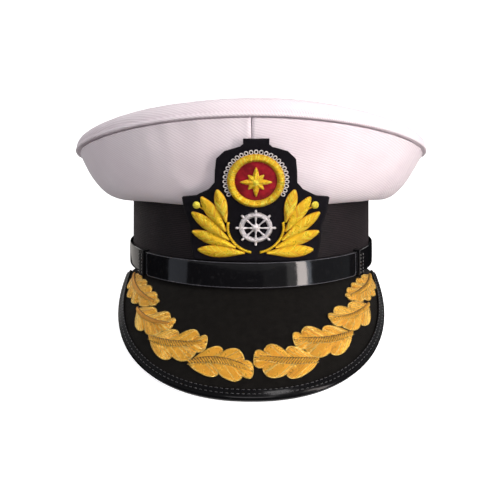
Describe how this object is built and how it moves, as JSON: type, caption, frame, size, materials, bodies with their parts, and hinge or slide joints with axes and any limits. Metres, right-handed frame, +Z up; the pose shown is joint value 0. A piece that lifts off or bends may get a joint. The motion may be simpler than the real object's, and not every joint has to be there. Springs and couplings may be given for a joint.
{
  "type": "peaked sailor cap",
  "caption": "Sailor's peaked cap with a white cloth crown, dark ribbed band, patent strap and an embroidered badge and peak.",
  "frame": {"origin": "centre of the bounding box in plan, on the surface that the cap rests on", "axes": "+X to the wearer's left, -Y where the peak points, +Z up; the cap leans back onto its rear band edge and its peak"},
  "size_m": [0.2486, 0.3042, 0.1503],
  "materials": {
    "white_cloth": "fine twill",
    "band_cloth": "fine level ribs",
    "peak_felt": "dull felt",
    "patent_leather": "high gloss",
    "badge_felt": "dull felt",
    "gold_bullion": "shiny metal thread",
    "silver_bullion": "shiny metal thread",
    "red_felt": "padded silk",
    "gilt_button": "polished"
  },
  "bodies": {
    "root": {"head_band": "band_cloth", "crown_front_left": "white_cloth", "crown_back_left": "white_cloth", "crown_back_right": "white_cloth", "crown_front_right": "white_cloth", "crown_welt": "white_cloth", "crown_top": "white_cloth", "peak": "peak_felt", "peak_binding": "patent_leather", "strap_under": "patent_leather", "strap_over": "patent_leather", "strap_slide_left": "patent_leather", "strap_button_left": "gilt_button", "strap_slide_right": "patent_leather", "strap_button_right": "gilt_button", "badge_patch": "badge_felt", "medallion_ring": "gold_bullion", "medallion_cushion": "red_felt", "medallion_star": "gold_bullion", "medallion_pearls": "silver_bullion", "ships_wheel": "silver_bullion", "laurel_left_1": "gold_bullion", "laurel_left_2": "gold_bullion", "laurel_left_3": "gold_bullion", "laurel_left_4": "gold_bullion", "laurel_left_5": "gold_bullion", "laurel_left_stem": "gold_bullion", "laurel_right_1": "gold_bullion", "laurel_right_2": "gold_bullion", "laurel_right_3": "gold_bullion", "laurel_right_4": "gold_bullion", "laurel_right_5": "gold_bullion", "laurel_right_stem": "gold_bullion", "oak_leaf_right_1": "gold_bullion", "oak_leaf_right_2": "gold_bullion", "oak_leaf_right_3": "gold_bullion", "oak_leaf_right_4": "gold_bullion", "oak_leaf_left_1": "gold_bullion", "oak_leaf_left_2": "gold_bullion", "oak_leaf_left_3": "gold_bullion", "oak_leaf_left_4": "gold_bullion"}
  },
  "joints": []
}
